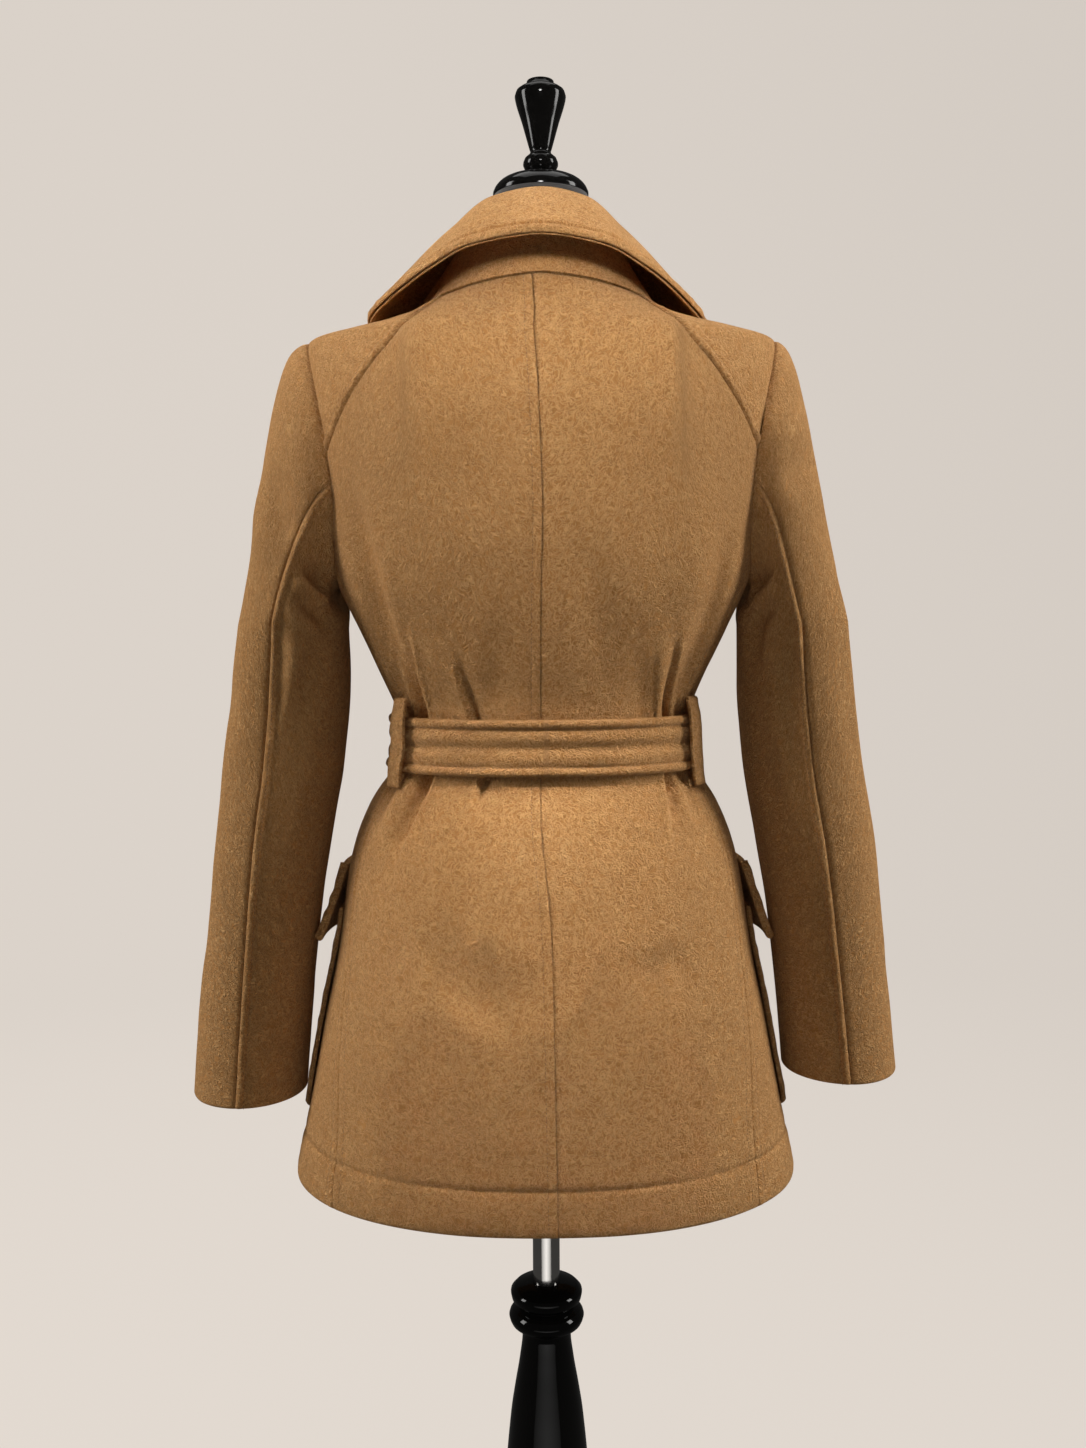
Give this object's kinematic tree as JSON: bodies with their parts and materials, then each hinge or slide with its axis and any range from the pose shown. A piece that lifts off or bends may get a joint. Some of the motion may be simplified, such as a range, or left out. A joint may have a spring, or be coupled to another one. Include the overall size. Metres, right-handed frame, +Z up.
{
  "type": "belted coat on a dress form",
  "caption": "Hip-length belted wool coat with a big turned collar, long sleeves and flap pockets, standing on a limbless dress form with a pole, turned post and round base.",
  "frame": {"origin": "on the floor at the middle of the round base, on the axis of the pole", "axes": "+Z up along the pole; the coat's front faces -Y and its back +Y; +X is the wearer's left"},
  "size_m": [0.579, 0.3088, 1.5715],
  "materials": {
    "wool": "napped camel wool, matt with a soft pile sheen",
    "cover": "plain dark jersey cover",
    "lacquer": "smooth gloss black lacquer",
    "steel": "bright polished steel tube"
  },
  "bodies": {
    "root": {"back_left": "wool", "side_back_left": "wool", "front_left": "wool", "yoke_left": "wool", "sleeve_top_left": "wool", "sleeve_under_left": "wool", "belt_loop_left": "wool", "pocket_left": "wool", "pocket_flap_left": "wool", "back_right": "wool", "side_back_right": "wool", "front_right": "wool", "yoke_right": "wool", "sleeve_top_right": "wool", "sleeve_under_right": "wool", "belt_loop_right": "wool", "pocket_right": "wool", "pocket_flap_right": "wool", "collar_upper": "wool", "collar_under": "wool", "belt_band": "wool", "belt_knot": "wool", "belt_tail_left": "wool", "belt_tail_right": "wool", "form_torso": "cover", "form_neck_cap": "lacquer", "finial": "lacquer", "stand_post": "lacquer", "stand_base": "lacquer", "pole": "steel"}
  },
  "joints": []
}
